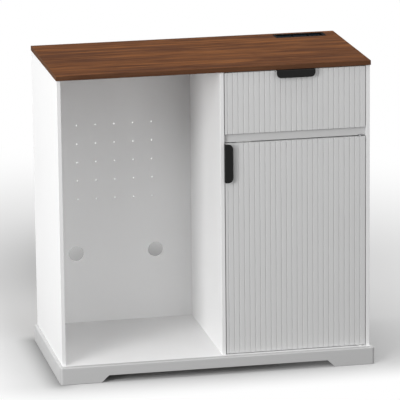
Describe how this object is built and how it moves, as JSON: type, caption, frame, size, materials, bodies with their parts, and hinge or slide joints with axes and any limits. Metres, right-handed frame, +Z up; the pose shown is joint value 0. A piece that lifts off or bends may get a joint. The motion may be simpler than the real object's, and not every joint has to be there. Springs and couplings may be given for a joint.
{
  "type": "bar cabinet",
  "caption": "Free-standing white bar cabinet with a walnut top, an open fridge bay, and a fluted drawer above a fluted cupboard door.",
  "frame": {"origin": "on the floor, under the middle of the whole cabinet, plinth included", "axes": "+Z up, +X to the right as seen from the front, +Y towards the back, so the fronts face -Y"},
  "size_m": [1.016, 0.521, 0.986],
  "materials": {
    "walnut_board": "satin walnut-grain laminate on a board core",
    "white_board": "matt white lacquered board",
    "fluted_board": "matt pale grey-white lacquered board with routed flutes",
    "thin_back": "thin fibreboard, white faced",
    "raw_wood": "unfinished softwood and beech",
    "zinc": "zinc-plated steel",
    "black_steel": "matt black powder coat",
    "black_plastic": "black moulded plastic",
    "pale_plastic": "off-white nylon",
    "magnet": "ferrite magnet with steel faces"
  },
  "bodies": {
    "carcass": {"top_board": "walnut_board", "left_side_panel": "white_board", "divider_panel": "white_board", "right_side_panel": "white_board", "base_board": "white_board", "plinth_front": "white_board", "plinth_left": "white_board", "plinth_right": "white_board", "plinth_rear": "white_board", "mid_rail": "white_board", "dust_board": "white_board", "adjustable_shelf": "white_board", "left_back_panel": "thin_back", "right_back_panel": "thin_back", "plinth_bearers": "raw_wood", "corner_blocks": "raw_wood", "panel_dowels": "raw_wood", "cam_locks": "zinc", "cam_bolts": "zinc", "base_screws": "zinc", "shelf_pins": "zinc", "pivot_bracket": "zinc", "pivot_bracket_screws": "zinc", "runner_case_left": "zinc", "runner_case_right": "zinc", "runner_case_screws": "zinc", "catch_screws": "zinc", "power_bezel": "black_plastic", "power_housing": "black_plastic", "power_sockets": "black_plastic", "charging_ports": "black_plastic", "power_gland": "black_plastic", "catch_body": "pale_plastic", "pivot_bush": "pale_plastic", "floor_glides": "pale_plastic", "catch_magnet": "magnet"},
    "drawer": {"drawer_front": "fluted_board", "drawer_left_side": "white_board", "drawer_right_side": "white_board", "drawer_back": "white_board", "drawer_bottom": "thin_back", "drawer_pull": "black_steel", "drawer_pull_screws": "zinc", "drawer_cam_locks": "zinc", "drawer_cam_bolts": "zinc", "drawer_back_screws": "zinc", "runner_drawer_left": "zinc", "runner_drawer_right": "zinc", "runner_drawer_screws": "zinc"},
    "runner_middle_left": {"runner_middle_left": "zinc"},
    "runner_middle_right": {"runner_middle_right": "zinc"},
    "door": {"door_panel": "fluted_board", "door_pull": "black_steel", "door_pull_screws": "zinc", "pivot_pins": "zinc", "strike_plate": "zinc", "strike_screws": "zinc"}
  },
  "joints": [
    {"name": "drawer_slide", "type": "slide", "parent": "carcass", "child": "drawer", "axis": [0, -1, 0], "range_m": [0, 0.34]},
    {"name": "runner_left_slide", "type": "slide", "parent": "carcass", "child": "runner_middle_left", "axis": [0, -1, 0], "range_m": [0, 0.17]},
    {"name": "runner_right_slide", "type": "slide", "parent": "carcass", "child": "runner_middle_right", "axis": [0, -1, 0], "range_m": [0, 0.17]},
    {"name": "door_hinge", "type": "hinge", "parent": "carcass", "child": "door", "pos_m": [0.4685, -0.225, 0.4005], "axis": [0, 0, 1], "range_deg": [0, 110]}
  ],
  "couplings": [
    {"joint": "runner_left_slide", "follows": "drawer_slide", "ratio": 0.5},
    {"joint": "runner_right_slide", "follows": "drawer_slide", "ratio": 0.5}
  ]
}
